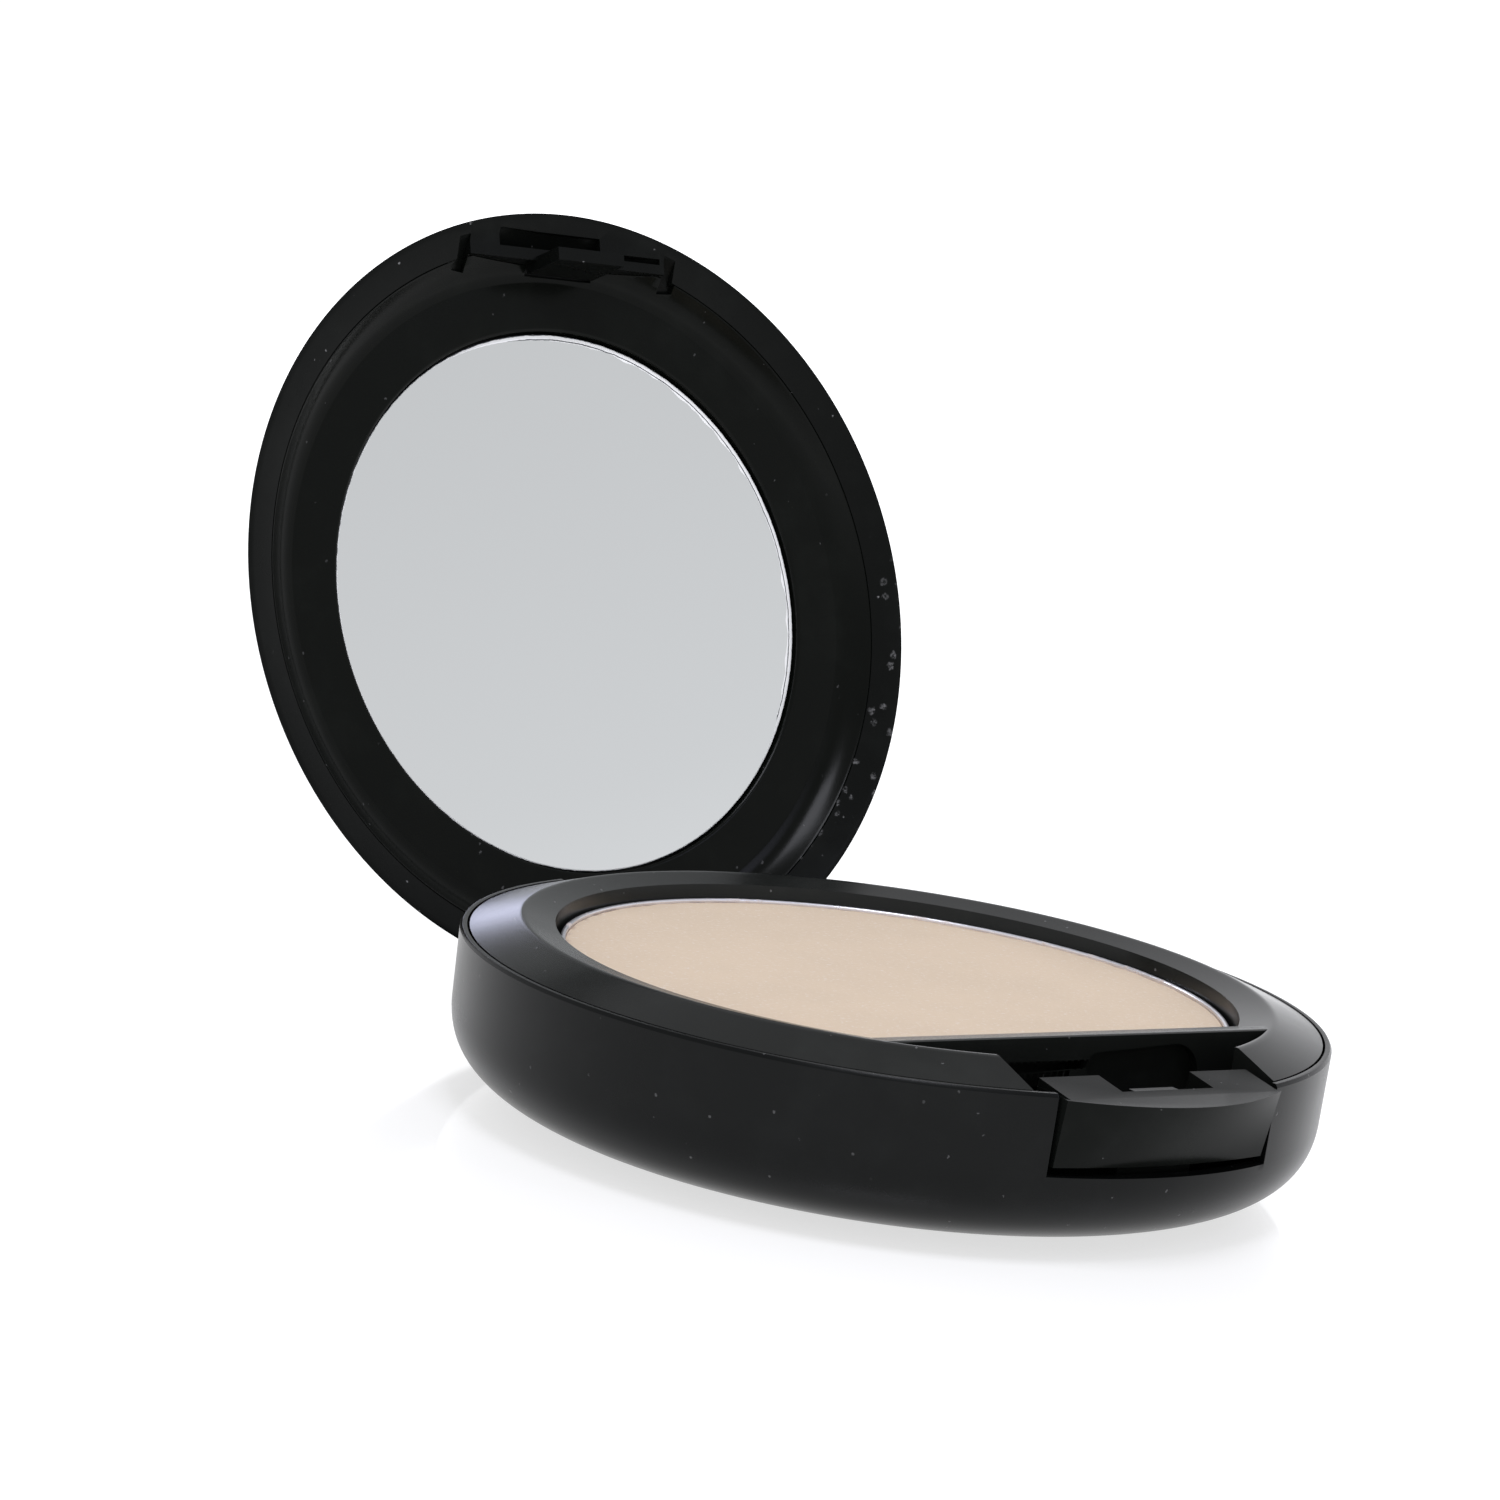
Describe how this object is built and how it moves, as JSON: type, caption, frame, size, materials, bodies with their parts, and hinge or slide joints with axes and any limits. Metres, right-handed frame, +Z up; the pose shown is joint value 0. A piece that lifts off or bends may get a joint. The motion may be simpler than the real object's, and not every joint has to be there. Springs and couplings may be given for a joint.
{
  "type": "powder compact",
  "caption": "Round pressed-powder compact: hinged lid with mirror, powder pan in a raised tray, push-button latch and a sponge well under the tray.",
  "frame": {"origin": "centre of the flat foot under the base, on the surface the compact stands on", "axes": "+Z up out of the base, +Y towards the hinge, +X to the right seen from the latch side"},
  "size_m": [0.078, 0.1127, 0.0758],
  "materials": {
    "case_black": "satin black moulded plastic",
    "inner_black": "soft satin black plastic",
    "tray_black": "satin black plastic",
    "steel": "drawn steel wire",
    "sponge": "fine open foam",
    "label": "matt silver-grey paper, no text",
    "pan_metal": "stamped bright aluminium",
    "powder": "matt pressed beige powder",
    "adhesive": "thin double-sided tape",
    "mirror_glass": "silvered flat glass with a ground edge"
  },
  "bodies": {
    "base": {"base_shell": "case_black", "base_liner": "inner_black", "hinge_pin": "steel", "latch_spring": "steel", "sponge": "sponge", "bottom_label": "label", "powder_tray": "tray_black", "powder_pan": "pan_metal", "pressed_powder": "powder", "pan_adhesive": "adhesive"},
    "lid": {"lid_shell": "case_black", "lid_frame": "inner_black", "mirror": "mirror_glass", "mirror_adhesive": "adhesive"},
    "latch": {"latch_button": "case_black"}
  },
  "joints": [
    {"name": "lid_hinge", "type": "hinge", "parent": "base", "child": "lid", "pos_m": [0, 0.0363, 0.0077], "axis": [-1, 0, 0], "range_deg": [-110.3, 0]},
    {"name": "button_press", "type": "slide", "parent": "base", "child": "latch", "axis": [0, 1, 0], "range_m": [0, 0.001], "stiffness_N_per_m": 300}
  ]
}
